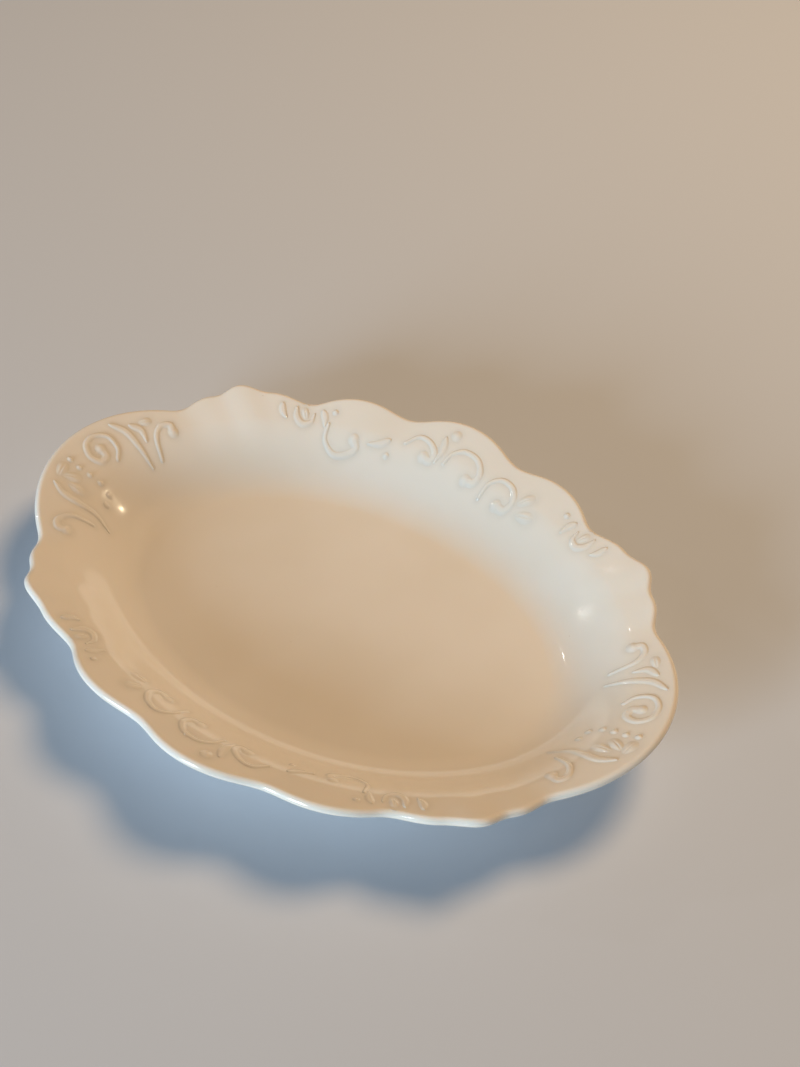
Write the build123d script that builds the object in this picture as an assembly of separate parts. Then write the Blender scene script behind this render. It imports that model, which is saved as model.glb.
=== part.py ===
from build123d import *
import os
from math import atan2, cos, hypot, pi, radians, sin, sqrt

# An oval porcelain serving platter with a scalloped rim and raised scroll ornament.
# Millimetres, +Z up, +X along the platter. The origin is under the middle of the foot ring.

# Overall shape
FLOOR_HALF = (114.0, 75.0)        # half axes of the flat floor inside the dish
RIM_HALF = (174.0, 135.0)         # half axes of the plain oval that the scallops follow
WALL_SPAN = 60.0                  # from the floor's edge out to that oval
FOOT_HEIGHT = 3.4
SHELL = 4.6                       # thickness of the floor, wall and rim
FLOOR_TOP = FOOT_HEIGHT + SHELL   # height of the dish floor above the table
FLUTE_DEPTH = 0.26                # how far a scallop's groove sinks, per mm of scallop
FLUTE_START = 15.0                # the grooves fade out here, measured out from the floor's edge

# The wall's section from the floor's edge outwards: (distance out, height above the floor, slope)
SECTION = [
    (0.0, 0.0, 0.0),              # tangent to the floor
    (20.0, 8.0, 0.80),            # the hollow of the dish
    (34.0, 20.0, 0.80),
    (42.0, 25.2, 0.47),           # soft shoulder
    (60.0, 33.2, 0.43),           # flared rim
]

# The scalloped edge in one quarter: lobes (centre x, centre y, radius at the crest), blended together
LOBES = [
    (105.3, 0.0, 72.7),           # the broad lobe at each end
    (128.3, 67.6, 14.7),          # three small corner lobes
    (123.6, 86.5, 8.0),
    (99.4, 81.0, 23.7),
    (50.2, 81.2, 46.1),           # the side lobes, left and right of the middle
    (0.0, 88.8, 49.4),            # the middle side lobe
]
LOBE_BLEND = 18.0

# Foot ring
FOOT_INSET = 2.0                  # from the flat underside's edge in to the ring
FOOT_WIDTH = 6.0
FOOT_ROUNDING = 1.2

# Raised ornament, seen from above
RELIEF = 0.9                      # height above the surface under it
SCROLL_WIDTH = 4.2
TENDRIL_WIDTH = 3.4
TIP_SHARE = 0.4                   # a scroll's width at its tip, as a share of its full width
KNOB = 3.0                        # radius of the round knob that a scroll starts from
BEAD = 1.6                        # radius of a bead
PETAL = (4.8, 2.7)                # half length and half width of a petal
SCROLL_STEPS = 18                 # points along a scroll's edge
HAIRLINE = 0.03                   # the ornament's bed stands this far off the shell
HEADROOM = 60.0                   # a height above everything, for cutting
BED_MARGIN = 1.5                  # the bed runs past a shape's box by this much before it is cut
BED_STEPS = 12
BED_TOLERANCE = 0.005

RING_STEPS = 180                  # points round each ring of the shell
RING_ANGLES = [2 * pi * i / RING_STEPS for i in range(RING_STEPS)]
WALL_STEPS = 24                   # rings up the wall, evenly spaced so that the loft stays smooth
LIP_STEPS = 5                     # rings round the rounded lip

os.makedirs("parts", exist_ok=True)


# Shape of the shell

def oval_reach(half, angle):
    """Distance from the centre to an ellipse, in the direction of angle."""
    return 1 / sqrt((cos(angle) / half[0]) ** 2 + (sin(angle) / half[1]) ** 2)


def lobe_reach(lobe, angle):
    """Distance from the centre to a lobe's crest, which falls away evenly on both sides."""
    x, y, radius = lobe
    along = x * cos(angle) + y * sin(angle)
    aside = x * sin(angle) - y * cos(angle)
    return along + radius - aside ** 2 / (2 * radius)


def blend(a, b, width):
    """The larger of two lengths, rounded where they are nearly equal."""
    share = max(width - abs(a - b), 0) / width
    return max(a, b) + share ** 3 * width / 6


def edge_reach(angle):
    """Distance from the centre to the scalloped edge."""
    folded = atan2(abs(sin(angle)), abs(cos(angle)))
    reach = lobe_reach(LOBES[0], folded)
    for lobe in LOBES[1:]:
        reach = blend(reach, lobe_reach(lobe, folded), LOBE_BLEND)
    return reach


def scallop(angle):
    """How far the scalloped edge stands outside the plain oval."""
    return edge_reach(angle) - oval_reach(RIM_HALF, angle)


def section(out):
    """Height above the floor, and slope, at a distance out from the floor's edge."""
    if out >= SECTION[-1][0]:
        last_out, last_height, last_slope = SECTION[-1]
        return last_height + last_slope * (out - last_out), last_slope
    for (x0, z0, m0), (x1, z1, m1) in zip(SECTION, SECTION[1:]):
        if out <= x1:
            break
    span = x1 - x0
    u = (out - x0) / span
    height = (z0 * (2 * u ** 3 - 3 * u ** 2 + 1) + m0 * span * (u ** 3 - 2 * u ** 2 + u)
              + z1 * (3 * u ** 2 - 2 * u ** 3) + m1 * span * (u ** 3 - u ** 2))
    slope = ((z0 - z1) * (6 * u ** 2 - 6 * u) / span + m0 * (3 * u ** 2 - 4 * u + 1)
             + m1 * (3 * u ** 2 - 2 * u))
    return height, slope


def fade(out):
    """How strongly the scallops show: 0 low in the dish, 1 at the rim."""
    share = min(max((out - FLUTE_START) / (WALL_SPAN - FLUTE_START), 0), 1)
    return share * share * (3 - 2 * share)


def shell_point(angle, out, depth=0.0, turn=0.0):
    """A point of the shell: out from the floor's edge, depth under the top face.

    turn carries a point of the lip round from the top face (0) to the underside (pi).
    """
    shift = scallop(angle)
    actual = out + fade(out) * shift
    height, slope = section(actual)
    height += FLOOR_TOP + FLUTE_DEPTH * shift * fade(actual)
    tilt = atan2(slope, 1)
    swing = depth * sin(turn) if turn else 0.0
    sink = depth * (1 - cos(turn)) if turn else depth
    actual += sink * sin(tilt) + swing * cos(tilt)
    height += swing * sin(tilt) - sink * cos(tilt)
    floor = oval_reach(FLOOR_HALF, angle)
    stretch = (oval_reach(RIM_HALF, angle) - floor) / WALL_SPAN
    reach = floor + actual * stretch
    return reach * cos(angle), reach * sin(angle), height


def closed_line(points):
    """A smooth closed line through points; every line shares one set of knots."""
    knots = [i / RING_STEPS for i in range(RING_STEPS + 1)]
    return Wire([Edge.make_spline(points, periodic=True, parameters=knots)])


def ring(out, depth=0.0, turn=0.0):
    """A closed line round the shell."""
    return closed_line([shell_point(angle, out, depth, turn) for angle in RING_ANGLES])


def make_body():
    """The shell in one piece: underside, lip and upper face."""
    lip = SHELL / 2
    lip_start = WALL_SPAN - lip * (1 + SECTION[-1][2])
    outs = [lip_start * i / WALL_STEPS for i in range(WALL_STEPS)]
    rings = [ring(out, SHELL) for out in outs]
    rings += [ring(lip_start, lip, pi * (1 - i / LIP_STEPS)) for i in range(LIP_STEPS)]
    rings += [ring(lip_start)]
    rings += [ring(out) for out in reversed(outs)]
    return Solid.make_loft(rings)


def make_foot_ring():
    """A low oval wall under the floor, rounded where it stands on the table."""
    outer = [half - FOOT_INSET for half in FLOOR_HALF]
    inner = [half - FOOT_WIDTH for half in outer]
    wall = extrude(Ellipse(*outer) - Ellipse(*inner), FOOT_HEIGHT)
    return fillet(wall.edges().group_by(Axis.Z)[0], FOOT_ROUNDING)


# Ornament, drawn flat and then laid on the shell

def flowing(*through):
    """Points along a smooth line through a few points."""
    line = Spline(*through)
    places = [line @ (i / (SCROLL_STEPS - 1)) for i in range(SCROLL_STEPS)]
    return [(place.X, place.Y) for place in places]


def band(points, width):
    """A flat strip along points, with round ends, narrowing to its tip."""
    left, right = [], []
    last = len(points) - 1
    for i, (x, y) in enumerate(points):
        before, after = points[max(i - 1, 0)], points[min(i + 1, last)]
        dx, dy = after[0] - before[0], after[1] - before[1]
        half = width / 2 * (1 - (1 - TIP_SHARE) * i / last) / hypot(dx, dy)
        left.append((x - dy * half, y + dx * half))
        right.append((x + dy * half, y - dx * half))
    ends = []
    for near, place, side in ((points[1], points[0], left[0]), (points[-2], points[-1], left[-1])):
        reach = hypot(side[0] - place[0], side[1] - place[1])
        dx, dy = place[0] - near[0], place[1] - near[1]
        scale = reach / hypot(dx, dy)
        ends.append((place[0] + dx * scale, place[1] + dy * scale))
    outline = Wire([
        Edge.make_spline(left),
        Edge.make_three_point_arc(left[-1], ends[1], right[-1]),
        Edge.make_spline(right[::-1]),
        Edge.make_three_point_arc(right[0], ends[0], left[0]),
    ])
    face = Face(outline)
    return face if face.normal_at().Z > 0 else -face


def disc(place, radius=BEAD):
    return Pos(*place) * Circle(radius)


def petal(place, angle, size=1.0):
    return Pos(*place) * Rot(0, 0, angle) * Ellipse(PETAL[0] * size, PETAL[1] * size)


def curl(*through):
    """A band that curls up to a round knob, where its points start."""
    line = flowing(*through)
    return Sketch() + band(line, SCROLL_WIDTH) + disc(line[0], KNOB)


def tendril(*through):
    return Sketch() + band(flowing(*through), TENDRIL_WIDTH)


def leaves(*petals):
    """Petals, each given by its place and the way it points."""
    return Sketch() + [petal(place, angle) for place, angle in petals]


def side_ornaments():
    """The running pattern along the far side, from left to right."""
    return {
        "c_scroll": curl((-56.5, 102), (-53.5, 98.5), (-58, 93.5), (-64, 91.3), (-71, 94.5), (-73.5, 102)),
        "leaf_and_bead": tendril((-38, 111), (-42, 107), (-48, 104)) + disc((-36, 103.5)),
        "small_arch": curl((-16.5, 111), (-12, 110.5), (-11.5, 115), (-17, 119.3), (-24, 119.7),
                           (-29.5, 113.5)),
        "bud_and_leaf": disc((-5, 128), KNOB) + tendril((-10, 125), (-8, 118), (-9, 111)),
        "large_arch": curl((11.5, 109), (16.5, 109.5), (17.5, 115), (12.5, 120.8), (4, 122),
                           (-2, 118), (-4, 112)),
        "end_arch": curl((34, 103.5), (39.5, 102.5), (42, 107.5), (38.5, 114), (31, 116.3),
                         (25, 112), (23, 104)) + leaves(((49, 110), 40), ((52, 102), 0)),
    }


def rocaille():
    """The shell-like cluster at the far right notch of the edge."""
    hook = Sketch() + band(flowing((94, 100.8), (91, 96.2), (86.5, 94.6), (82.8, 98), (83.4, 102.8)),
                           TENDRIL_WIDTH)
    wings = tendril((102, 98), (99.3, 94.3), (95.8, 92.3)) + tendril((80.2, 107), (77, 104), (74.8, 100))
    return hook + wings + petal((88, 100.6), 50, 0.75) + disc((73.5, 109.5))


def end_ornaments():
    """The spray on the right end, from the far side to the near side."""
    corner = ((141, 46.5), (145, 48.5), (148, 44), (145.5, 37), (137, 30.5))
    beads = ((167.5, -9.5), (161.5, -9.5), (155.5, -8.5), (149.5, -7.3), (143.5, -8.5), (141, -14))
    return {
        "far_corner_scroll": curl(*corner),
        "curls": tendril((160, 32), (154, 34.5), (148, 31.5)) + petal((155.5, 40), 120, 0.8),
        "far_tendril": tendril((167.5, 24), (159, 27.5), (149, 26), (138, 23.5)),
        "big_curl": curl((161.5, 8.5), (157, 7.5), (157, 2.5), (162.5, 0.5), (168, 4.5), (168.5, 12),
                         (163.5, 17.5), (156, 16), (152, 11)),
        "bead_row": Sketch() + [disc(place) for place in beads],
        "leaf_fan": leaves(((166.5, -17.5), 75), ((160, -17), 140), ((154.5, -21), 170)),
        "near_tendril": tendril((164, -27), (156, -29), (148, -27), (140, -24), (131, -25)),
        "near_corner_scroll": curl(*((x, -y) for x, y in corner)),
    }


def surface_height(x, y):
    """Height of the shell's upper face above a point of the table."""
    angle = atan2(y, x)
    floor = oval_reach(FLOOR_HALF, angle)
    stretch = (oval_reach(RIM_HALF, angle) - floor) / WALL_SPAN
    out = max((hypot(x, y) - floor) / stretch, 0)
    return FLOOR_TOP + section(out)[0] + FLUTE_DEPTH * scallop(angle) * fade(out)


def bed_under(shape):
    """The stretch of the upper face that lies under a flat shape, a hair above the shell."""
    box = shape.bounding_box()
    xs, ys = [
        [low - BED_MARGIN + (high - low + 2 * BED_MARGIN) * i / BED_STEPS for i in range(BED_STEPS + 1)]
        for low, high in ((box.min.X, box.max.X), (box.min.Y, box.max.Y))
    ]
    points = [[(x, y, surface_height(x, y) + HAIRLINE) for y in ys] for x in xs]
    return Face.make_surface_from_array_of_points(points, tol=BED_TOLERANCE)


def laid_on_shell(shapes):
    """Turn flat shapes into pads of even height that follow the shell's upper face."""
    pads = []
    for shape in shapes.faces():
        cutter = extrude(shape, HEADROOM, dir=(0, 0, 1))
        patch = bed_under(shape).intersect(cutter).faces()[0]
        pads.append(Solid.extrude(patch, Vector(0, 0, RELIEF)))
    return Compound(pads)


def write(name, shape):
    export_step(shape, f"parts/{name}.step")
    print(name, len(shape.solids()), round(shape.volume, 1))


body = make_body()
write("platter_body", body)
write("foot_ring", make_foot_ring())

for name, shapes in side_ornaments().items():
    write(f"far_{name}", laid_on_shell(shapes))
    write(f"near_{name}", laid_on_shell(Rot(0, 0, 180) * shapes))
for name, shapes in end_ornaments().items():
    write(f"right_{name}", laid_on_shell(shapes))
    write(f"left_{name}", laid_on_shell(mirror(shapes, Plane.YZ)))
cluster = rocaille()
write("rocaille_far_right", laid_on_shell(cluster))
write("rocaille_far_left", laid_on_shell(mirror(cluster, Plane.YZ)))
write("rocaille_near_right", laid_on_shell(mirror(cluster, Plane.XZ)))
write("rocaille_near_left", laid_on_shell(Rot(0, 0, 180) * cluster))
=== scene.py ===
from math import cos, pi, radians, sin

import bpy
import numpy as np
from mathutils import Matrix, Vector


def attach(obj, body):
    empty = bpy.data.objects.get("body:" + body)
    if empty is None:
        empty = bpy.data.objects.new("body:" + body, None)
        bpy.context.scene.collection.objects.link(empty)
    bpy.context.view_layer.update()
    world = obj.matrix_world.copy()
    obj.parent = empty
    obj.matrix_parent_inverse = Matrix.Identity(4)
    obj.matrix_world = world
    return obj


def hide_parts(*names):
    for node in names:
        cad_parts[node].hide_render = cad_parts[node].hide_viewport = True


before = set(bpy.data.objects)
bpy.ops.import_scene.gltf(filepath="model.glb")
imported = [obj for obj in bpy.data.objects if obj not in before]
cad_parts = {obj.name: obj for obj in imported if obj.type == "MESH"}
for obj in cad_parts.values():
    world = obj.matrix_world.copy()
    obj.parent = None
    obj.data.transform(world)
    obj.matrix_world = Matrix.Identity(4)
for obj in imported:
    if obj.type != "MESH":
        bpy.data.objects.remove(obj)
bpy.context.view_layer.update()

millimetre = 0.001
mergeDistance = 0.005 * millimetre  # points nearer than this become one
farAway = 1e9                       # further than any gap between two shapes

cameraSetup = {
    "place": (0.2495, -0.4588, 0.5989),  # where it stands, in metres
    "turn": -25.77,                      # degrees round the platter
    "pitch": 45.12,                      # degrees below the horizon
    "roll": 6.19,
    "lens": 50.9,                        # millimetres
    "sensor": 36,
}


def addCamera(setup):
    turn, pitch, roll = (radians(setup[k]) for k in ("turn", "pitch", "roll"))
    level = Vector((sin(turn), cos(turn), 0))
    right = Vector((cos(turn), -sin(turn), 0))
    up = Vector((0, 0, 1))
    forward = level * cos(pitch) - up * sin(pitch)
    over = level * sin(pitch) + up * cos(pitch)
    x = right * cos(roll) + over * sin(roll)
    y = over * cos(roll) - right * sin(roll)
    data = bpy.data.cameras.new("camera")
    data.sensor_width = setup["sensor"]
    data.lens = setup["lens"]
    camera = bpy.data.objects.new("camera", data)
    place = Matrix((x, y, -forward)).transposed().to_4x4()
    place.translation = Vector(setup["place"])
    camera.matrix_world = place
    bpy.context.collection.objects.link(camera)
    bpy.context.scene.camera = camera


addCamera(cameraSetup)
print("camera set")


class Field:
    # a number flowing through a node tree, so that a formula reads as one

    def __init__(self, tree, socket):
        self.tree = tree
        self.socket = socket

    def __add__(self, other):
        return mathNode("ADD", self, other)

    def __sub__(self, other):
        return mathNode("SUBTRACT", self, other)

    def __rsub__(self, other):
        return mathNode("SUBTRACT", other, self)

    def __mul__(self, other):
        return mathNode("MULTIPLY", self, other)

    def __truediv__(self, other):
        return mathNode("DIVIDE", self, other)

    def __rtruediv__(self, other):
        return mathNode("DIVIDE", other, self)

    __radd__ = __add__
    __rmul__ = __mul__


def mathNode(operation, *values):
    tree = next(v.tree for v in values if isinstance(v, Field))
    node = tree.nodes.new("ShaderNodeMath")
    node.operation = operation
    for socket, value in zip(node.inputs, values):
        if isinstance(value, Field):
            tree.links.new(value.socket, socket)
        else:
            socket.default_value = value
    return Field(tree, node.outputs[0])


def root(a):
    return mathNode("SQRT", a)


def most(a, b):
    return mathNode("MAXIMUM", a, b)


def least(a, b):
    return mathNode("MINIMUM", a, b)


def absolute(a):
    return mathNode("ABSOLUTE", a)


def sine(a):
    return mathNode("SINE", a)


def cosine(a):
    return mathNode("COSINE", a)


def turnOf(y, x):
    return mathNode("ARCTAN2", y, x)


def within(a, low=0.0, high=1.0):
    return least(most(a, low), high)


platter = {  # millimetres
    "floorLong": 114.0,      # half axes of the flat floor
    "floorWide": 75.0,
    "rimLong": 174.0,        # half axes of the plain oval that the scallops follow
    "rimWide": 135.0,
    "wallSpan": 60.0,
    "floorTop": 7.995,
    "thickness": 4.6,
    "fluteDepth": 0.26,
    "fluteStart": 15.0,
    "lobeBlend": 18.0,
    # the wall from the floor's edge outwards: distance out, height, slope
    "section": ((0, 0, 0), (20, 8, 0.80), (34, 20, 0.80), (42, 25.2, 0.47), (60, 33.2, 0.43)),
    # the scallops in one quarter: centre x, centre y, radius at the crest
    "lobes": ((105.3, 0, 72.7), (128.3, 67.6, 14.7), (123.6, 86.5, 8.0),
              (99.4, 81.0, 23.7), (50.2, 81.2, 46.1), (0, 88.8, 49.4)),
    "turnSteps": 720,        # faces round the platter
    "floorSteps": 8,
    "underSteps": 24,
    "lipSteps": 12,
    "wallSteps": 64,
    "wellSteps": 14,         # wall steps beyond the floor that the knife marks fade out over
    "probe": 0.05,           # the wall's slope is read this far each side of a point
}
sizeInputs = ("floorLong", "floorWide", "rimLong", "rimWide", "wallSpan", "floorTop",
              "thickness", "fluteDepth", "fluteStart", "lobeBlend")


def newTree(name, numbers, counts=()):
    tree = bpy.data.node_groups.new(name, "GeometryNodeTree")
    tree.interface.new_socket("Geometry", in_out="INPUT", socket_type="NodeSocketGeometry")
    for key in numbers:
        tree.interface.new_socket(key, in_out="INPUT", socket_type="NodeSocketFloat")
    for key in counts:
        tree.interface.new_socket(key, in_out="INPUT", socket_type="NodeSocketInt")
    tree.interface.new_socket("Material", in_out="INPUT", socket_type="NodeSocketMaterial")
    tree.interface.new_socket("Geometry", in_out="OUTPUT", socket_type="NodeSocketGeometry")
    entry = tree.nodes.new("NodeGroupInput")
    result = tree.nodes.new("NodeGroupOutput")
    given = {key: Field(tree, entry.outputs[key]) for key in (*numbers, *counts)}
    return tree, entry, result, given


def ovalReach(long, wide, angle):
    a = cosine(angle) / long
    b = sine(angle) / wide
    return 1 / root(a * a + b * b)


def lobeReach(lobe, angle):
    x, y, radius = lobe
    along = x * cosine(angle) + y * sine(angle)
    aside = x * sine(angle) - y * cosine(angle)
    return along + radius - aside * aside / (2 * radius)


def blendOf(a, b, width):
    share = most(width - absolute(a - b), 0) / width
    return most(a, b) + share * share * share * width / 6


def scallopOf(given, angle):
    folded = turnOf(absolute(sine(angle)), absolute(cosine(angle)))
    reach = lobeReach(platter["lobes"][0], folded)
    for lobe in platter["lobes"][1:]:
        reach = blendOf(reach, lobeReach(lobe, folded), given["lobeBlend"])
    return reach - ovalReach(given["rimLong"], given["rimWide"], angle)


def sectionOf(out):
    height = 0.0
    for (x0, z0, m0), (x1, z1, m1) in zip(platter["section"], platter["section"][1:]):
        span = x1 - x0
        u = within((out - x0) / span)
        square = u * u
        cube = square * u
        rise = (3 * square - 2 * cube) * (z1 - z0)
        lean = (cube - 2 * square + u) * (m0 * span) + (cube - square) * (m1 * span)
        height = rise + lean + height
    last = platter["section"][-1]
    return height + most(out - last[0], 0) * last[2]


def fadeOf(given, out):
    share = within((out - given["fluteStart"]) / (given["wallSpan"] - given["fluteStart"]))
    return share * share * (3 - 2 * share)


def surfaceHeight(given, x, y):
    # height of the dish's upper face over a point
    angle = turnOf(y, x)
    floor = ovalReach(given["floorLong"], given["floorWide"], angle)
    stretch = (ovalReach(given["rimLong"], given["rimWide"], angle) - floor) / given["wallSpan"]
    out = most((root(x * x + y * y) - floor) / stretch, 0)
    flute = given["fluteDepth"] * scallopOf(given, angle) * fadeOf(given, out)
    return given["floorTop"] + sectionOf(out) + flute


def positionParts(tree):
    node = tree.nodes.new("ShaderNodeSeparateXYZ")
    place = tree.nodes.new("GeometryNodeInputPosition")
    tree.links.new(place.outputs[0], node.inputs[0])
    return [Field(tree, output) for output in node.outputs]


def moveTo(tree, geometry, x, y, z):
    join = tree.nodes.new("ShaderNodeCombineXYZ")
    for socket, value in zip(join.inputs, (x, y, z)):
        tree.links.new((value * millimetre).socket, socket)
    place = tree.nodes.new("GeometryNodeSetPosition")
    tree.links.new(geometry, place.inputs["Geometry"])
    tree.links.new(join.outputs[0], place.inputs["Position"])
    return place.outputs[0]


def keepValue(tree, geometry, name, value):
    # stores a number on the points, for the glaze to read
    node = tree.nodes.new("GeometryNodeStoreNamedAttribute")
    node.data_type = "FLOAT"
    node.inputs["Name"].default_value = name
    tree.links.new(geometry, node.inputs["Geometry"])
    tree.links.new(value.socket, node.inputs["Value"])
    return node.outputs["Geometry"]


def closeTree(tree, entry, result, geometry):
    # merge the seam and the poles, shade smooth, realize and give the material
    for kind in ("GeometryNodeMergeByDistance", "GeometryNodeSetShadeSmooth",
                 "GeometryNodeRealizeInstances", "GeometryNodeSetMaterial"):
        node = tree.nodes.new(kind)
        if kind == "GeometryNodeMergeByDistance":
            node.inputs["Distance"].default_value = mergeDistance
        tree.links.new(geometry, node.inputs[0])
        geometry = node.outputs[0]
    tree.links.new(entry.outputs["Material"], node.inputs["Material"])
    tree.links.new(geometry, result.inputs[0])


def profileGrid(tree, count, turnSteps):
    # a grid of profile steps by steps round the platter, with each point's step and angle
    grid = tree.nodes.new("GeometryNodeMeshGrid")
    tree.links.new((count + 1).socket, grid.inputs["Vertices X"])
    tree.links.new((turnSteps + 1).socket, grid.inputs["Vertices Y"])
    u, v, _ = positionParts(tree)
    return grid.outputs["Mesh"], mathNode("ROUND", (u + 0.5) * count), (v + 0.5) * (2 * pi)


def steps(i, start, count):
    # 0 to 1 while i runs over count steps from start
    return within((i - start) / count)


def buildShellTree():
    tree, entry, result, given = newTree(
        "platterShell", sizeInputs, ("turnSteps", "floorSteps", "underSteps", "lipSteps", "wallSteps"))
    floorSteps, under, lipSteps, wall = (given[k] for k in
                                         ("floorSteps", "underSteps", "lipSteps", "wallSteps"))
    total = floorSteps * 2 + under + lipSteps + wall
    grid, i, angle = profileGrid(tree, total, given["turnSteps"])
    floorShare = steps(i, 0, floorSteps) - steps(i, total - floorSteps, floorSteps)
    climb = steps(i, floorSteps, under) - steps(i, floorSteps + under + lipSteps, wall)
    turn = pi * (1 - steps(i, floorSteps + under, lipSteps))

    lip = given["thickness"] / 2
    lipStart = given["wallSpan"] - lip * (1 + platter["section"][-1][2])
    out = lipStart * climb
    shift = scallopOf(given, angle)
    actual = out + fadeOf(given, out) * shift
    probe = platter["probe"]
    near, far = sectionOf(actual - probe), sectionOf(actual + probe)
    tilt = turnOf(far - near, 2 * probe)
    flute = given["fluteDepth"] * shift * fadeOf(given, actual)
    height = given["floorTop"] + sectionOf(actual) + flute
    sink = lip * (1 - cosine(turn))
    swing = lip * sine(turn)
    actual = actual + sink * sine(tilt) + swing * cosine(tilt)
    height = height + swing * sine(tilt) - sink * cosine(tilt)
    floor = ovalReach(given["floorLong"], given["floorWide"], angle)
    stretch = (ovalReach(given["rimLong"], given["rimWide"], angle) - floor) / given["wallSpan"]
    reach = (floor + actual * stretch) * floorShare
    marked = keepValue(tree, grid, "lip", sine(turn))
    well = steps(i, total - floorSteps - platter["wellSteps"], platter["wellSteps"])
    marked = keepValue(tree, marked, "well", well)
    moved = moveTo(tree, marked, reach * cosine(angle), reach * sine(angle), height)
    closeTree(tree, entry, result, moved)
    return tree


def runTree(name, tree, mesh, values, material):
    # the finished piece is a plain mesh, with no modifier left
    source = bpy.data.objects.new(name, mesh)
    bpy.context.collection.objects.link(source)
    modifier = source.modifiers.new(name, "NODES")
    modifier.node_group = tree
    for item in tree.interface.items_tree:
        if item.in_out == "INPUT" and item.name in values:
            modifier[item.identifier] = values[item.name]
        elif item.in_out == "INPUT" and item.name == "Material":
            modifier[item.identifier] = material
    depsgraph = bpy.context.evaluated_depsgraph_get()
    made = bpy.data.meshes.new_from_object(source.evaluated_get(depsgraph), depsgraph=depsgraph)
    bpy.data.objects.remove(source)
    made.name = name
    piece = bpy.data.objects.new(name, made)
    bpy.context.collection.objects.link(piece)
    return piece


def volumeOf(mesh):
    mesh.calc_loop_triangles()
    points = np.empty(len(mesh.vertices) * 3)
    mesh.vertices.foreach_get("co", points)
    corners = np.empty(len(mesh.loop_triangles) * 3, dtype=int)
    mesh.loop_triangles.foreach_get("vertices", corners)
    a, b, c = points.reshape(-1, 3)[corners.reshape(-1, 3)].transpose(1, 0, 2)
    return float((a * np.cross(b, c)).sum() / 6)


def faceOutward(mesh):
    if volumeOf(mesh) < 0:
        mesh.flip_normals()


glazeLook = {
    "white": (0.86, 0.845, 0.81, 1),
    "cream": (0.82, 0.795, 0.74, 1),
    "poolShade": (0.70, 0.685, 0.635, 1),    # where the glaze lies deep beside the relief: glaze pooling with painted shade
    "speck": (0.30, 0.22, 0.15, 1),
    "bare": (0.66, 0.60, 0.51, 1),      # ground, unglazed porcelain
    "dirt": (0.36, 0.30, 0.24, 1),
    # how much each one covers the colour under it
    # the next one also sets how strong the painted shade beside the relief is
    "poolShadeShare": 0.4,
    "wornShare": 0.35,
    "speckShare": 0.6,
    "speckedFrom": 0.955,               # a cell drawn above this holds a speck
    "roughness": 0.13,
    "markRoughness": 0.09,              # added on knife marks
    "wornRoughness": 0.2,               # added where the lip is worn
    "bareRoughness": 0.75,
    "coat": 0.55,
    # how fine the patterns are, in cells to the metre
    "cloudScale": 9,
    "poolShadeScale": 160,
    "wearScale": 70,
    "speckScale": 150,
    "glossScale": 45,
    "waveScale": 38,
    "peelScale": 620,
    "edgeScale": 90,
    "dirtScale": 140,
    "gritScale": 900,
}


class Shade:
    # makes and joins the nodes of one material

    def __init__(self, name):
        self.material = bpy.data.materials.new(name)
        self.material.use_nodes = True
        self.tree = self.material.node_tree
        self.shader = self.tree.nodes["Principled BSDF"]
        self.place = self.add("ShaderNodeTexCoord").outputs["Object"]

    def add(self, kind, **settings):
        node = self.tree.nodes.new(kind)
        for key, value in settings.items():
            setattr(node, key, value)
        return node

    def put(self, socket, value):
        if isinstance(value, bpy.types.NodeSocket):
            self.tree.links.new(value, socket)
        else:
            socket.default_value = value

    def calc(self, operation, a, b):
        node = self.add("ShaderNodeMath", operation=operation)
        self.put(node.inputs[0], a)
        self.put(node.inputs[1], b)
        return node.outputs[0]

    def noise(self, scale, detail=2.0, distortion=0.0, stretch=None):
        node = self.add("ShaderNodeTexNoise")
        place = self.place
        if stretch:
            turned = self.add("ShaderNodeMapping")
            turned.inputs["Scale"].default_value = stretch[0]
            turned.inputs["Rotation"].default_value = (0, 0, radians(stretch[1]))
            self.put(turned.inputs["Vector"], place)
            place = turned.outputs[0]
        self.put(node.inputs["Vector"], place)
        node.inputs["Scale"].default_value = scale
        node.inputs["Detail"].default_value = detail
        node.inputs["Distortion"].default_value = distortion
        return node.outputs["Fac"]

    def between(self, value, low, high, first=0.0, last=1.0):
        # carries low..high of a value to first..last, smoothly
        node = self.add("ShaderNodeMapRange", interpolation_type="SMOOTHSTEP")
        for socket, number in zip(node.inputs, (value, low, high, first, last)):
            self.put(socket, number)
        return node.outputs[0]

    def mix(self, share, a, b):
        node = self.add("ShaderNodeMix", data_type="RGBA")
        self.put(node.inputs["Factor"], share)
        self.put(node.inputs["A"], a)
        self.put(node.inputs["B"], b)
        return node.outputs["Result"]

    def value(self, name):
        return self.add("ShaderNodeAttribute", attribute_name=name).outputs["Fac"]

    def height(self):
        node = self.add("ShaderNodeSeparateXYZ")
        self.put(node.inputs[0], self.place)
        return node.outputs["Z"]

    def bump(self, height, strength, distance, under=None):
        node = self.add("ShaderNodeBump")
        node.inputs["Strength"].default_value = strength
        node.inputs["Distance"].default_value = distance
        self.put(node.inputs["Height"], height)
        if under:
            self.put(node.inputs["Normal"], under)
        return node.outputs[0]


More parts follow.
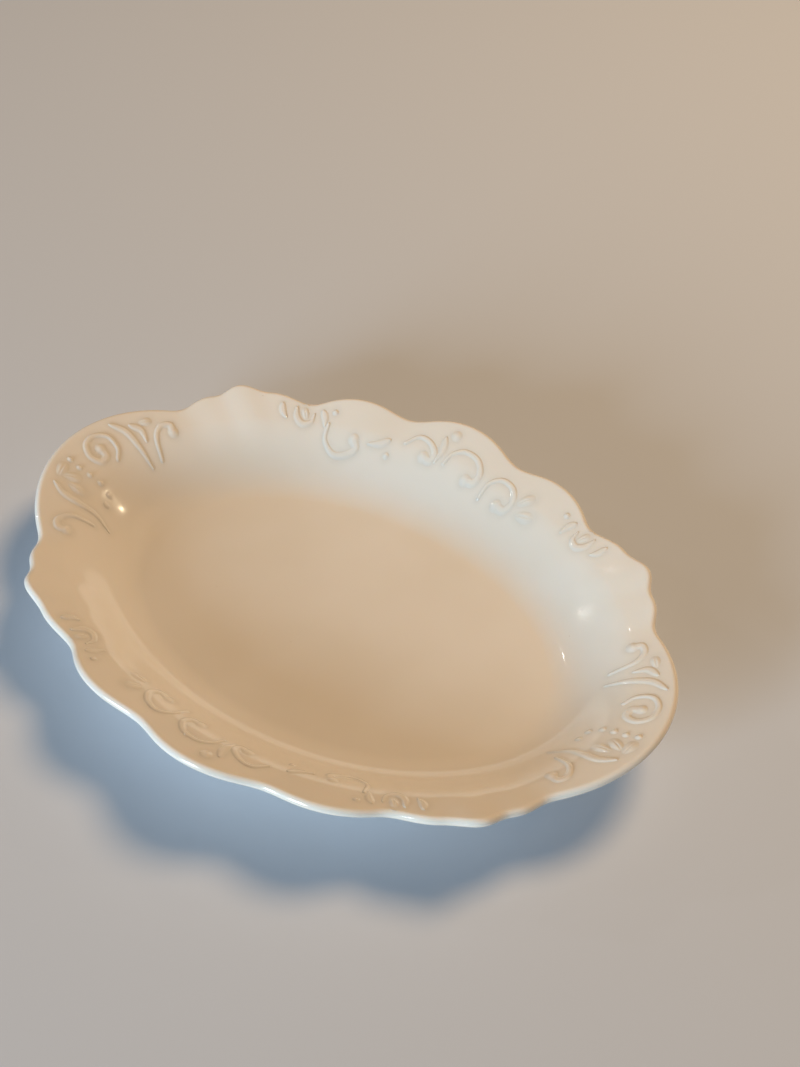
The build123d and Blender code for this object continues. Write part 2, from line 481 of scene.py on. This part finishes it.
def glazedPorcelain(name, poolShadeOf):
    # clear gloss glaze on white porcelain; pooled says how deep the glaze lies at a point and how much
    # shade is painted there
    shade = Shade(name)
    look = glazeLook
    cloud = shade.between(shade.noise(look["cloudScale"], 3), 0.35, 0.65)
    colour = shade.mix(cloud, look["white"], look["cream"])
    uneven = shade.between(shade.noise(look["poolShadeScale"], 3), 0.2, 0.7, 0.55, 1.0)
    poolShadeDepth = shade.calc("MULTIPLY", poolShadeOf(shade), uneven)
    # darker where the glaze pools beside the relief: glaze pooling with painted shade
    colour = shade.mix(shade.calc("MULTIPLY", poolShadeDepth, look["poolShadeShare"]), colour, look["poolShade"])

    lip = shade.between(shade.value("lip"), 0.75, 1.0)
    worn = shade.calc("MULTIPLY", lip, shade.between(shade.noise(look["wearScale"], 5), 0.56, 0.66))
    colour = shade.mix(shade.calc("MULTIPLY", worn, look["wornShare"]), colour, look["bare"])

    # a few iron specks, about half a millimetre across
    cells = shade.add("ShaderNodeTexVoronoi")
    shade.put(cells.inputs["Vector"], shade.place)
    cells.inputs["Scale"].default_value = look["speckScale"]
    tint = shade.add("ShaderNodeSeparateColor")
    shade.put(tint.inputs[0], cells.outputs["Color"])
    dot = shade.between(cells.outputs["Distance"], 0.022, 0.045, 1.0, 0.0)
    rare = shade.calc("GREATER_THAN", tint.outputs[0], look["speckedFrom"])
    speck = shade.calc("MULTIPLY", shade.calc("MULTIPLY", dot, rare), look["speckShare"])
    colour = shade.mix(speck, colour, look["speck"])
    shade.put(shade.shader.inputs["Base Color"], colour)

    # knife and spoon marks in the well: fine lines in two directions
    oneWay = shade.between(shade.noise(60, 1, 0.6, ((1, 22, 1), 28)), 0.655, 0.70)
    otherWay = shade.between(shade.noise(70, 1, 0.5, ((18, 1, 1), 15)), 0.665, 0.71)
    marks = shade.calc("MULTIPLY", shade.calc("MAXIMUM", oneWay, otherWay), shade.value("well"))
    rough = shade.between(shade.noise(look["glossScale"], 4), 0.3, 0.7,
                          look["roughness"] - 0.03, look["roughness"] + 0.05)
    rough = shade.calc("ADD", rough, shade.calc("MULTIPLY", marks, look["markRoughness"]))
    rough = shade.calc("ADD", rough, shade.calc("MULTIPLY", worn, look["wornRoughness"]))
    shade.put(shade.shader.inputs["Roughness"], rough)

    wave = shade.bump(shade.noise(look["waveScale"], 2), 0.5, 0.00022)
    peel = shade.bump(shade.noise(look["peelScale"], 2), 0.35, 0.00006, wave)
    pit = shade.bump(shade.calc("MULTIPLY", marks, -1.0), 0.25, 0.00003, peel)
    shade.put(shade.shader.inputs["Normal"], pit)
    shade.put(shade.shader.inputs["Coat Normal"], wave)
    fixed = {"Coat Weight": look["coat"], "Coat Roughness": 0.04, "Coat IOR": 1.5, "IOR": 1.5,
             "Subsurface Weight": 0.10, "Subsurface Scale": 0.003}
    for key, number in fixed.items():
        shade.shader.inputs[key].default_value = number
    shade.shader.inputs["Subsurface Radius"].default_value = (1.0, 0.75, 0.5)
    return shade


# painted shade, with glaze pooling, on the shell beside the relief
def poolShadeNearRelief(shade):
    return shade.value("poolShade")


# painted shade, with glaze pooling, where a relief runs down into the face
def poolShadeAtReliefFoot(shade):
    return shade.between(shade.value("relief"), 0.05, 0.75, 1.0, 0.0)


# painted shade, with glaze pooling, up the foot ring where it meets the body
def poolShadeAtFootTop(shade):
    return shade.between(shade.height(), 0.0026, 0.0036, 0.0, 0.7)


shellGlaze = glazedPorcelain("whiteGlaze", poolShadeNearRelief).material
reliefGlaze = glazedPorcelain("reliefGlaze", poolShadeAtReliefFoot).material


def footPorcelain():
    # glazed sides above a bare, ground standing edge
    # the ring is darker towards its top, where it meets the body: painted shade with glaze pooling
    shade = glazedPorcelain("footRingGlaze", poolShadeAtFootTop)
    look = glazeLook
    glazed = shade.shader.inputs["Base Color"].links[0].from_socket
    rough = shade.shader.inputs["Roughness"].links[0].from_socket
    ragged = shade.between(shade.noise(look["edgeScale"], 4), 0.3, 0.7, -0.0003, 0.0003)
    edge = shade.calc("ADD", shade.height(), ragged)
    bare = shade.between(edge, 0.0006, 0.0009, 1.0, 0.0)
    grit = shade.noise(look["gritScale"], 4)
    stain = shade.between(shade.noise(look["dirtScale"], 5), 0.45, 0.7)
    ground = shade.mix(stain, look["bare"], look["dirt"])
    shade.put(shade.shader.inputs["Base Color"], shade.mix(bare, glazed, ground))
    bareRough = shade.between(bare, 0.0, 1.0, rough, look["bareRoughness"])
    shade.put(shade.shader.inputs["Roughness"], bareRough)
    smooth = shade.shader.inputs["Normal"].links[0].from_socket
    rougher = shade.bump(shade.calc("MULTIPLY", grit, bare), 0.6, 0.00012, smooth)
    shade.put(shade.shader.inputs["Normal"], rougher)
    coat = shade.between(bare, 0.0, 1.0, look["coat"], 0.0)
    shade.put(shade.shader.inputs["Coat Weight"], coat)
    return shade.material


footGlaze = footPorcelain()
print("glazes mixed")

shellTree = buildShellTree()
shell = runTree("shell", shellTree, bpy.data.meshes.new("shell"), platter, shellGlaze)
faceOutward(shell.data)
print("shell made", len(shell.data.polygons), "faces, volume", volumeOf(shell.data))
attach(shell, "root")
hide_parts("platter_body")

foot = {  # millimetres
    "middleLong": 109.0,   # half axes of the ring's middle line
    "middleWide": 70.0,
    "halfWidth": 3.0,
    "flare": 1.6,          # how much it spreads where it joins the shell
    "flarePower": 2.5,     # how late the spread begins
    "top": 3.9,            # it runs up into the shell
    "ringSteps": 480,
    "sideSteps": 44,
    "topSteps": 6,
}


def buildFootTree():
    tree, entry, result, given = newTree(
        "footRing", ("middleLong", "middleWide", "halfWidth", "flare", "top"),
        ("ringSteps", "sideSteps", "topSteps"))
    total = given["sideSteps"] + given["topSteps"]
    grid, i, angle = profileGrid(tree, total, given["ringSteps"])
    lean = (steps(i, 0, given["sideSteps"]) * 2 - 1) * (pi / 2)
    back = steps(i, given["sideSteps"], given["topSteps"])
    side = mathNode("SIGN", lean)
    across = side * root(absolute(sine(lean)))
    drop = root(most(cosine(lean), 0))
    spread = given["flare"] * mathNode("POWER", 1 - drop, foot["flarePower"])
    offset = across * (given["halfWidth"] + spread) * (1 - 2 * back)
    height = given["top"] * (1 - drop)
    reach = ovalReach(given["middleLong"], given["middleWide"], angle) + offset
    moved = moveTo(tree, grid, reach * cosine(angle), reach * sine(angle), height)
    closeTree(tree, entry, result, moved)
    return tree


footRing = runTree("footRing", buildFootTree(), bpy.data.meshes.new("footRing"), foot, footGlaze)
faceOutward(footRing.data)
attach(footRing, "root")
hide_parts("foot_ring")
print("foot ring made", len(footRing.data.polygons), "faces")

relief = {  # millimetres
    "cell": 0.3,          # spacing of the points on a relief patch
    "height": 0.85,
    "skirt": 0.75,        # how far a patch runs on under the glaze, outside its shape
    "sunk": 0.04,         # its edge lies this far under the shell's face
    "bed": 0.7,           # thickness of the slab under the face
    "scrollWidth": 5.6,
    "tendrilWidth": 5.2,
    "tipShare": 0.45,     # a band's width at its tip, as a share of its full width
    "leafTip": 0.3,       # a tendril's width at its ends, the same way
    "leafPower": 0.7,     # puts a tendril's widest place before its middle
    "tendrilHeight": 0.9,
    "channel": 0.22,      # how deep the groove along a band is, as a share of its height
    "channelWidth": 0.3,  # as a share of the band's half width
    "domePower": 1.8,
    "knob": 3.6,
    "knobHeight": 1.1,
    "bead": 2.1,
    "petalLong": 5.8,
    "petalWide": 3.4,
    "petalTaper": 0.25,
    "petalHeight": 0.95,
    "vein": 0.45,         # how deep a petal's vein is, as a share of its height
    "veinWidth": 0.4,
    "lineSteps": 12,      # pieces of a line between two of its points
    "blendPower": 8,      # shapes that meet are joined with a soft seam
    "poolReach": 9.0,     # glaze pooling and painted shade stay within this box round an ornament
    "poolFade": 1.5,
}


def flowingLine(*through):
    # a smooth line through a few points
    knots = np.array([(*through[0],), *through, (*through[-1],)], dtype=float)
    knots[0] = 2 * knots[1] - knots[2]
    knots[-1] = 2 * knots[-2] - knots[-3]
    line = []
    for a, b, c, d in zip(knots, knots[1:], knots[2:], knots[3:]):
        for u in np.linspace(0, 1, relief["lineSteps"], endpoint=False):
            line.append(b + (c - a) * u / 2 + (2 * a - 5 * b + 4 * c - d) * u ** 2 / 2
                        + (3 * b - a - 3 * c + d) * u ** 3 / 2)
    return np.array([*line, knots[-2]])


def strand(line, width, height=1.0, leafy=False):
    # a rounded band along a line, narrowing to its tip, or a long leaf pointed at both ends
    share = np.linspace(0, 1, len(line))
    if leafy:
        tip = relief["leafTip"]
        half = width / 2 * (tip + (1 - tip) * np.sin(pi * share ** relief["leafPower"]))
    else:
        half = width / 2 * (1 - (1 - relief["tipShare"]) * share)

    def shape(x, y):
        best = np.full(x.shape, farAway)
        gap = np.full(x.shape, farAway)
        for a, b, wa, wb in zip(line, line[1:], half, half[1:]):
            along = b - a
            t = np.clip(((x - a[0]) * along[0] + (y - a[1]) * along[1]) / (along @ along), 0, 1)
            away = np.hypot(x - a[0] - along[0] * t, y - a[1] - along[1] * t)
            wide = wa + (wb - wa) * t
            best = np.minimum(best, away / wide)
            gap = np.minimum(gap, away - wide)
        channel = 1 - relief["channel"] * np.exp(-(best / relief["channelWidth"]) ** 2)
        return height * dome(best) * channel, gap

    return shape, line, width


def dome(share):
    # a round back that runs out softly into the face, as under a thick glaze
    return np.clip(1 - share ** 2, 0, 1) ** relief["domePower"]


def bead(place, radius=None, height=1.0):
    radius = radius or relief["bead"]

    def shape(x, y):
        away = np.hypot(x - place[0], y - place[1])
        return height * dome(away / radius), away - radius

    return shape, np.array([place], dtype=float), radius * 2


def petal(place, angle, scale=1.0):
    # a leaf shape with a vein pressed along its middle
    c, s = cos(radians(angle)), sin(radians(angle))
    long, wide = relief["petalLong"] * scale, relief["petalWide"] * scale

    def shape(x, y):
        u = (x - place[0]) * c + (y - place[1]) * s
        v = (y - place[1]) * c - (x - place[0]) * s
        share = np.hypot(u / long, v / (wide * (1 + relief["petalTaper"] * u / long)))
        pressed = np.exp(-(v / relief["veinWidth"]) ** 2) * np.clip(1 - u / long, 0, 1)
        vein = 1 - relief["vein"] * pressed
        return relief["petalHeight"] * dome(share) * vein, (share - 1) * wide

    reach = np.array([place]) + np.array([[-long * c, -long * s], [long * c, long * s]])
    return shape, reach, wide * 2


def curl(*through):
    # a band that curls up to a round knob, where its points start
    line = flowingLine(*through)
    return [strand(line, relief["scrollWidth"]), bead(line[0], relief["knob"], relief["knobHeight"])]


def tendril(*through):
    line = flowingLine(*through)
    return [strand(line, relief["tendrilWidth"], relief["tendrilHeight"], leafy=True)]


def leaves(*petals):
    return [petal(place, angle) for place, angle in petals]


cornerLine = ((141, 46.5), (145, 48.5), (148, 44), (145.5, 37), (137, 30.5))
sideOrnaments = {
    "c_scroll": curl((-56.5, 102), (-53.5, 98.5), (-58, 93.5), (-64, 91.3), (-71, 94.5), (-73.5, 102)),
    "leaf_and_bead": tendril((-38, 111), (-42, 107), (-48, 104)) + [bead((-36, 103.5))],
    "small_arch": curl((-16.5, 111), (-12, 110.5), (-11.5, 115), (-17, 119.3), (-24, 119.7),
                       (-29.5, 113.5)),
    "bud_and_leaf": [bead((-5, 128), relief["knob"])] + tendril((-10, 125), (-8, 118), (-9, 111)),
    "large_arch": curl((11.5, 109), (16.5, 109.5), (17.5, 115), (12.5, 120.8), (4, 122),
                       (-2, 118), (-4, 112)),
    "end_arch": curl((34, 103.5), (39.5, 102.5), (42, 107.5), (38.5, 114), (31, 116.3),
                     (25, 112), (23, 104)) + leaves(((49, 110), 40), ((52, 102), 0)),
}
rocaille = (tendril((94, 100.8), (91, 96.2), (86.5, 94.6), (82.8, 98), (83.4, 102.8))
            + tendril((102, 98), (99.3, 94.3), (95.8, 92.3))
            + tendril((80.2, 107), (77, 104), (74.8, 100))
            + [petal((88, 100.6), 50, 0.75), bead((73.5, 109.5))])
endOrnaments = {
    "far_corner_scroll": curl(*cornerLine),
    "curls": tendril((160, 32), (154, 34.5), (148, 31.5)) + [petal((155.5, 40), 120, 0.8)],
    "far_tendril": tendril((167.5, 24), (159, 27.5), (149, 26), (138, 23.5)),
    "big_curl": curl((161.5, 8.5), (157, 7.5), (157, 2.5), (162.5, 0.5), (168, 4.5), (168.5, 12),
                     (163.5, 17.5), (156, 16), (152, 11)),
    "bead_row": [bead(place) for place in ((167.5, -9.5), (161.5, -9.5), (155.5, -8.5),
                                           (149.5, -7.3), (143.5, -8.5), (141, -14))],
    "leaf_fan": leaves(((166.5, -17.5), 75), ((160, -17), 140), ((154.5, -21), 170)),
    "near_tendril": tendril((164, -27), (156, -29), (148, -27), (140, -24), (131, -25)),
    "near_corner_scroll": curl(*((x, -y) for x, y in cornerLine)),
}


def reliefOf(shapes, x, y):
    # height above the face, and the distance outside the shapes, at points
    rise = np.zeros(x.shape)
    gap = np.full(x.shape, farAway)
    power = relief["blendPower"]
    for shape, _, _ in shapes:
        lift, away = shape(x, y)
        rise += lift ** power
        gap = np.minimum(gap, away)
    return rise ** (1 / power) * relief["height"], gap


def patchMesh(name, shapes, flipX, flipY):
    # a thin closed slab over the shapes, still flat, with its relief kept as an attribute
    cell, reach = relief["cell"], relief["skirt"] + relief["cell"]
    lines = np.concatenate([line for _, line, _ in shapes])
    margin = max(width for _, _, width in shapes) / 2 + reach + cell
    low, high = lines.min(0) - margin, lines.max(0) + margin
    columns, rows = np.ceil((high - low) / cell).astype(int) + 1
    x, y = np.meshgrid(low[0] + np.arange(columns) * cell, low[1] + np.arange(rows) * cell,
                       indexing="ij")
    rise, gap = reliefOf(shapes, x, y)
    near = gap < relief["skirt"]
    kept = near[:-1, :-1] | near[1:, :-1] | near[:-1, 1:] | near[1:, 1:]
    for _ in range(4):  # cells that meet only at a corner get a neighbour
        a, b, c, d = kept[:-1, :-1], kept[1:, 1:], kept[1:, :-1], kept[:-1, 1:]
        kept[:-1, :-1] |= c & d & ~a & ~b
        kept[1:, :-1] |= a & b & ~c & ~d
    number = np.arange(x.size).reshape(x.shape)
    quads = np.stack([number[:-1, :-1], number[1:, :-1], number[1:, 1:], number[:-1, 1:]], -1)[kept]
    used = np.unique(quads)
    fresh = np.zeros(x.size, dtype=int)
    fresh[used] = np.arange(len(used))
    top = fresh[quads]
    bottom = top[:, ::-1] + len(used)
    edges = np.concatenate([top[:, [i, (i + 1) % 4]] for i in range(4)])
    keys = {tuple(edge) for edge in edges.tolist()}
    rim = [(a, b) for a, b in edges.tolist() if (b, a) not in keys]
    sides = [(b, a, a + len(used), b + len(used)) for a, b in rim]
    places = np.stack([x.flat[used] * flipX, y.flat[used] * flipY, np.zeros(len(used))], 1)
    faces = top.tolist() + bottom.tolist() + sides
    mesh = bpy.data.meshes.new(name)
    mesh.from_pydata(np.concatenate([places, places]).tolist(), [], faces)
    if flipX * flipY < 0:
        mesh.flip_normals()
    onTop = rise.flat[used]
    lift = mesh.attributes.new("relief", "FLOAT", "POINT")
    lift.data.foreach_set("value", np.concatenate([onTop, np.zeros(len(used))]))
    under = mesh.attributes.new("under", "FLOAT", "POINT")
    under.data.foreach_set("value", np.repeat([0.0, 1.0], len(used)))
    return mesh


def buildReliefTree():
    # lays a flat relief patch on the platter's upper face
    tree, entry, result, given = newTree("layOnPlatter", (*sizeInputs, "sunk", "bed"))

    def stored(name):
        node = tree.nodes.new("GeometryNodeInputNamedAttribute")
        node.data_type = "FLOAT"
        node.inputs["Name"].default_value = name
        return Field(tree, node.outputs["Attribute"])

    x, y, _ = positionParts(tree)
    face = surfaceHeight(given, x, y)
    height = face + stored("relief") - given["sunk"] - stored("under") * given["bed"]
    moved = moveTo(tree, entry.outputs["Geometry"], x, y, height)
    closeTree(tree, entry, result, moved)
    return tree


reliefTree = buildReliefTree()
reliefSizes = {**platter, **relief}
layout = []
for name, shapes in sideOrnaments.items():
    layout += [("far_" + name, shapes, 1, 1), ("near_" + name, shapes, -1, -1)]
for name, shapes in endOrnaments.items():
    layout += [("right_" + name, shapes, 1, 1), ("left_" + name, shapes, -1, 1)]
for flipX, end in ((1, "right"), (-1, "left")):
    for flipY, side in ((1, "far"), (-1, "near")):
        layout.append((f"rocaille_{side}_{end}", rocaille, flipX, flipY))
for name, shapes, flipX, flipY in layout:
    piece = runTree(name + "_relief", reliefTree, patchMesh(name, shapes, flipX, flipY),
                    reliefSizes, reliefGlaze)
    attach(piece, "root")
    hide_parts(name)
print("ornament laid", len(layout), "pieces")


def markPoolShade():
    # the glaze pools on the shell beside each ornament, and shade is painted there
    mesh = shell.data
    places = np.empty(len(mesh.vertices) * 3)
    mesh.vertices.foreach_get("co", places)
    normals = np.empty(len(mesh.vertices) * 3)
    mesh.vertices.foreach_get("normal", normals)
    x, y, _ = places.reshape(-1, 3).T / millimetre
    upper = normals.reshape(-1, 3)[:, 2] > 0.2  # leaves out the lip's edge and the underside
    poolShade = np.zeros(len(x))
    for _, shapes, flipX, flipY in layout:
        lines = np.concatenate([line for _, line, _ in shapes])
        lowX, lowY = lines.min(0) - relief["poolReach"]
        highX, highY = lines.max(0) + relief["poolReach"]
        u, v = x * flipX, y * flipY
        near = upper & (u > lowX) & (u < highX) & (v > lowY) & (v < highY)
        _, gap = reliefOf(shapes, u[near], v[near])
        poolShade[near] = np.maximum(poolShade[near], np.exp(-(np.maximum(gap, 0) / relief["poolFade"]) ** 2))
    kept = mesh.attributes.new("poolShade", "FLOAT", "POINT")
    kept.data.foreach_set("value", poolShade)


markPoolShade()

studio = {
    "floorReach": 1.5,                   # metres to each side
    "paper": (0.60, 0.67, 0.78, 1),
    "paperRoughness": 0.8,
    "wall": (0.50, 0.47, 0.44, 1),
    "glow": (0.055, 0.054, 0.056, 1),
}
# azimuth and elevation in degrees, distance and width in metres, watts, colour, shows in gloss
lights = {
    "warmLamp": (72, 56, 2.2, 0.9, 33.5, (1.0, 0.66, 0.36), False),
    "coolWindow": (-104, 12, 2.6, 0.9, 66, (0.78, 0.92, 1.0), True),
    "warmSparkle": (52, 31, 2.4, 0.05, 0.9, (1.0, 0.82, 0.55), True),
    "whiteSparkle": (-171, 28, 2.4, 0.10, 1.2, (1.0, 0.97, 0.92), True),
    "smallSparkle": (156, 47, 2.4, 0.05, 0.4, (1.0, 0.97, 0.92), True),
}


def addFloor():
    mesh = bpy.data.meshes.new("studioFloor")
    reach = studio["floorReach"]
    mesh.from_pydata([(-reach, -reach, 0), (reach, -reach, 0), (reach, reach, 0), (-reach, reach, 0)],
                     [], [(0, 1, 2, 3)])
    floor = bpy.data.objects.new("studioFloor", mesh)
    bpy.context.collection.objects.link(floor)
    paper = bpy.data.materials.new("palePaper")
    paper.use_nodes = True
    shader = paper.node_tree.nodes["Principled BSDF"]
    shader.inputs["Base Color"].default_value = studio["paper"]
    shader.inputs["Roughness"].default_value = studio["paperRoughness"]
    mesh.materials.append(paper)


def addLight(name, azimuth, elevation, distance, width, power, colour, shine):
    # azimuth runs from +X towards +Y, seen from above
    a, e = radians(azimuth), radians(elevation)
    place = Vector((cos(a) * cos(e), sin(a) * cos(e), sin(e))) * distance
    data = bpy.data.lights.new(name, "AREA")
    data.shape = "DISK"
    data.size = width
    data.energy = power
    data.color = colour
    light = bpy.data.objects.new(name, data)
    light.location = place
    light.rotation_euler = place.to_track_quat("Z", "Y").to_euler()
    light.visible_glossy = shine
    bpy.context.collection.objects.link(light)


addFloor()
for name, setup in lights.items():
    addLight(name, *setup)


def addStudioWalls():
    # pale walls for the eye, and only a faint glow as light
    world = bpy.data.worlds.new("studio")
    bpy.context.scene.world = world
    world.use_nodes = True
    tree = world.node_tree
    wall = tree.nodes["Background"]
    wall.inputs["Color"].default_value = studio["wall"]
    dim = tree.nodes.new("ShaderNodeBackground")
    dim.inputs["Color"].default_value = studio["glow"]
    ray = tree.nodes.new("ShaderNodeLightPath")
    choice = tree.nodes.new("ShaderNodeMixShader")
    tree.links.new(ray.outputs["Is Camera Ray"], choice.inputs[0])
    tree.links.new(dim.outputs[0], choice.inputs[1])
    tree.links.new(wall.outputs[0], choice.inputs[2])
    tree.links.new(choice.outputs[0], tree.nodes["World Output"].inputs["Surface"])


addStudioWalls()
bpy.context.scene.view_settings.view_transform = "Standard"
print("stage and lights set")
